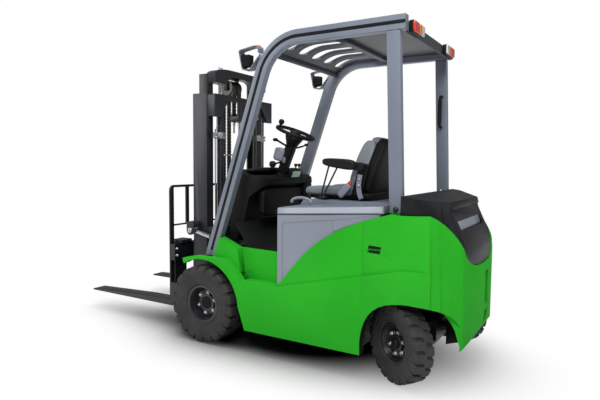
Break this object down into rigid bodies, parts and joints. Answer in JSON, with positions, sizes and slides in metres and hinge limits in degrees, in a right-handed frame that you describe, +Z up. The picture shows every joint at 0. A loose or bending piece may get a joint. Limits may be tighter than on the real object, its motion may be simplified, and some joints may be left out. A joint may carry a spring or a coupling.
{
  "type": "counterbalance forklift truck",
  "caption": "Four-wheel counterbalance forklift truck with a two-stage mast, fork carriage, overhead guard and steered rear wheels",
  "frame": {"origin": "on the floor, below the middle of the bounding box", "axes": "+X forward along the forks, +Y to the truck's left, +Z up"},
  "size_m": [3.115, 1.2186, 2.045],
  "materials": {
    "green_paint": "gloss enamel",
    "grey_paint": "satin enamel",
    "black_paint": "satin enamel",
    "fork_steel": "worn satin enamel",
    "black_plastic": "grained",
    "floor_rubber": "ribbed matt",
    "tyre_rubber": "matt",
    "seat_vinyl": "grained vinyl",
    "lamp_red": "clear moulded lens",
    "bright_steel": "oiled",
    "chromed_rod": "polished",
    "battery_case": "matt"
  },
  "bodies": {
    "chassis": {"chassis_frame": "green_paint", "floor_plate": "floor_rubber", "cowl": "black_plastic", "steering_column": "grey_paint", "control_levers": "black_plastic", "counterweight": "green_paint", "rear_cover": "black_plastic", "battery": "battery_case", "side_doors": "grey_paint", "guard_pillars": "grey_paint", "guard_posts": "grey_paint", "guard_roof": "grey_paint", "grab_handle": "black_plastic", "headlamps": "black_plastic", "rear_lamps": "lamp_red", "drive_axle": "black_paint", "steer_axle": "black_paint"},
    "hood": {"hood": "grey_paint", "seat_frame": "black_plastic", "seat_cushion": "seat_vinyl", "seat_back": "seat_vinyl", "armrests": "black_plastic"},
    "steering_wheel": {"steering_wheel": "black_plastic"},
    "knuckle_left": {"knuckle_left": "black_paint"},
    "knuckle_right": {"knuckle_right": "black_paint"},
    "front_left_wheel": {"front_tyre_left": "tyre_rubber", "front_rim_left": "black_paint"},
    "front_right_wheel": {"front_tyre_right": "tyre_rubber", "front_rim_right": "black_paint"},
    "rear_left_wheel": {"rear_tyre_left": "tyre_rubber", "rear_rim_left": "black_paint"},
    "rear_right_wheel": {"rear_tyre_right": "tyre_rubber", "rear_rim_right": "black_paint"},
    "mast_outer": {"outer_mast": "black_paint", "lift_barrels": "black_paint", "chain_rear": "bright_steel"},
    "mast_inner": {"inner_mast": "black_paint", "lift_rods": "chromed_rod", "sheaves": "bright_steel", "chain_front": "bright_steel"},
    "carriage": {"carriage": "black_paint", "fork_left": "fork_steel", "fork_right": "fork_steel", "load_backrest": "black_paint"},
    "tilt_barrels": {"tilt_barrels": "black_paint"},
    "tilt_rods": {"tilt_rods": "chromed_rod"}
  },
  "joints": [
    {"name": "front_left_wheel_spin", "type": "hinge", "parent": "chassis", "child": "front_left_wheel", "pos_m": [0.1975, 0.478, 0.266], "axis": [0, 1, 0], "continuous": true},
    {"name": "front_right_wheel_spin", "type": "hinge", "parent": "chassis", "child": "front_right_wheel", "pos_m": [0.1975, -0.478, 0.266], "axis": [0, 1, 0], "continuous": true},
    {"name": "steer_left", "type": "hinge", "parent": "chassis", "child": "knuckle_left", "pos_m": [-1.2325, 0.368, 0.226], "axis": [0, 0, 1], "range_deg": [-37, 103]},
    {"name": "steer_right", "type": "hinge", "parent": "chassis", "child": "knuckle_right", "pos_m": [-1.2325, -0.368, 0.226], "axis": [0, 0, 1], "range_deg": [-37, 103]},
    {"name": "rear_left_wheel_spin", "type": "hinge", "parent": "knuckle_left", "child": "rear_left_wheel", "pos_m": [-1.18348, 0.44348, 0.226], "axis": [0.5446, 0.8387, 0], "continuous": true},
    {"name": "rear_right_wheel_spin", "type": "hinge", "parent": "knuckle_right", "child": "rear_right_wheel", "pos_m": [-1.28152, -0.44348, 0.226], "axis": [0.5446, 0.8387, 0], "continuous": true},
    {"name": "steering_wheel_turn", "type": "hinge", "parent": "chassis", "child": "steering_wheel", "pos_m": [-0.2055, 0, 1.452], "axis": [-0.3665, 0, 0.9304], "continuous": true},
    {"name": "mast_tilt", "type": "hinge", "parent": "chassis", "child": "mast_outer", "pos_m": [0.1975, 0, 0.266], "axis": [0, 1, 0], "range_deg": [-10, 6]},
    {"name": "mast_lift", "type": "slide", "parent": "mast_outer", "child": "mast_inner", "axis": [0, 0, 1], "range_m": [-0.072, 1.228], "deforming": ["chain_rear"]},
    {"name": "carriage_lift", "type": "slide", "parent": "mast_inner", "child": "carriage", "axis": [0, 0, 1], "range_m": [-0.072, 1.228], "deforming": ["chain_front"]},
    {"name": "hood_open", "type": "hinge", "parent": "chassis", "child": "hood", "pos_m": [-1.1065, 0, 1.007], "axis": [0, -1, 0], "range_deg": [0, 60]},
    {"name": "tilt_barrel_swing", "type": "hinge", "parent": "chassis", "child": "tilt_barrels", "pos_m": [-0.00822, 0, 0.64602], "axis": [0, 1, 0], "range_deg": [-8, 5]},
    {"name": "tilt_rod_slide", "type": "slide", "parent": "tilt_barrels", "child": "tilt_rods", "axis": [0.9744, 0, 0.225], "range_m": [-0.075, 0.045]}
  ],
  "couplings": [
    {"joint": "steer_right", "follows": "steer_left", "ratio": 1},
    {"joint": "carriage_lift", "follows": "mast_lift", "ratio": 1},
    {"joint": "tilt_barrel_swing", "follows": "mast_tilt", "ratio": 0.739},
    {"joint": "tilt_rod_slide", "follows": "mast_tilt", "m_per_rad": 0.4166}
  ]
}
